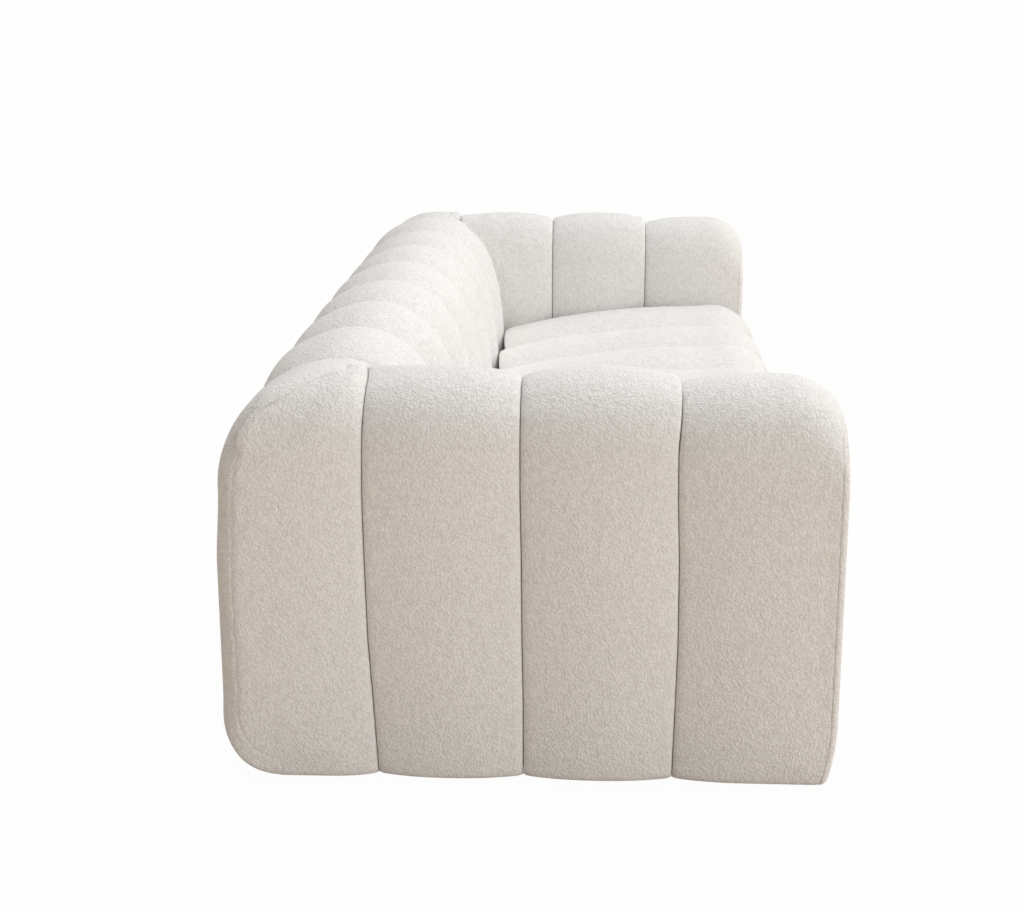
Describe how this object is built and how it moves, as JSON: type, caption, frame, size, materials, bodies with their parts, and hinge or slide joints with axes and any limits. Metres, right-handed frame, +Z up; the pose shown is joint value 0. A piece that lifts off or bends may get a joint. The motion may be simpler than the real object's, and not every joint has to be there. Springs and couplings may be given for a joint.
{
  "type": "tuxedo sofa",
  "caption": "Low channel-tufted tuxedo sofa in white boucle, with a fixed seat and arms and back of one height.",
  "frame": {"origin": "centre of the footprint, on the floor under the glides", "axes": "+X along the sofa towards its right arm as seen from the front, -Y towards the front, +Z up"},
  "size_m": [2.2, 1, 0.67],
  "materials": {
    "boucle_cover": "matte",
    "foam": "matte",
    "felt": "matte",
    "webbing": "matte",
    "dust_cloth": "matte",
    "frame_timber": "matte",
    "plywood": "matte",
    "hardboard": "matte",
    "steel": "satin",
    "glide_plastic": "matte"
  },
  "bodies": {
    "root": {"seat_channel_1": "boucle_cover", "seat_channel_2": "boucle_cover", "seat_channel_3": "boucle_cover", "seat_channel_4": "boucle_cover", "seat_channel_5": "boucle_cover", "seat_channel_6": "boucle_cover", "seat_channel_7": "boucle_cover", "back_channel_1": "boucle_cover", "back_channel_2": "boucle_cover", "back_channel_3": "boucle_cover", "back_channel_4": "boucle_cover", "back_channel_5": "boucle_cover", "back_channel_6": "boucle_cover", "back_channel_7": "boucle_cover", "left_arm_channel_1": "boucle_cover", "left_arm_channel_2": "boucle_cover", "left_arm_channel_3": "boucle_cover", "left_arm_channel_4": "boucle_cover", "right_arm_channel_1": "boucle_cover", "right_arm_channel_2": "boucle_cover", "right_arm_channel_3": "boucle_cover", "right_arm_channel_4": "boucle_cover", "left_corner_channel": "boucle_cover", "right_corner_channel": "boucle_cover", "left_arm_front_cap": "boucle_cover", "right_arm_front_cap": "boucle_cover", "seat_foam": "foam", "back_foam": "foam", "left_arm_foam": "foam", "right_arm_foam": "foam", "left_corner_foam": "foam", "right_corner_foam": "foam", "seat_front_rail": "frame_timber", "seat_rear_rail": "frame_timber", "seat_side_rails": "frame_timber", "seat_stretchers": "frame_timber", "corner_blocks": "frame_timber", "back_top_rail": "frame_timber", "back_bottom_rail": "frame_timber", "left_arm_posts": "frame_timber", "right_arm_posts": "frame_timber", "left_arm_top_rail": "frame_timber", "right_arm_top_rail": "frame_timber", "left_arm_bottom_rail": "frame_timber", "right_arm_bottom_rail": "frame_timber", "corner_posts": "frame_timber", "back_ribs": "plywood", "back_outer_panel": "hardboard", "left_arm_outer_panel": "hardboard", "right_arm_outer_panel": "hardboard", "left_arm_inner_panel": "hardboard", "right_arm_inner_panel": "hardboard", "spring_felt": "felt", "back_webbing": "webbing", "dust_cover": "dust_cloth", "seat_springs": "steel", "spring_clips": "steel", "tie_wires": "steel", "frame_bolts": "steel", "glides": "glide_plastic"}
  },
  "joints": []
}
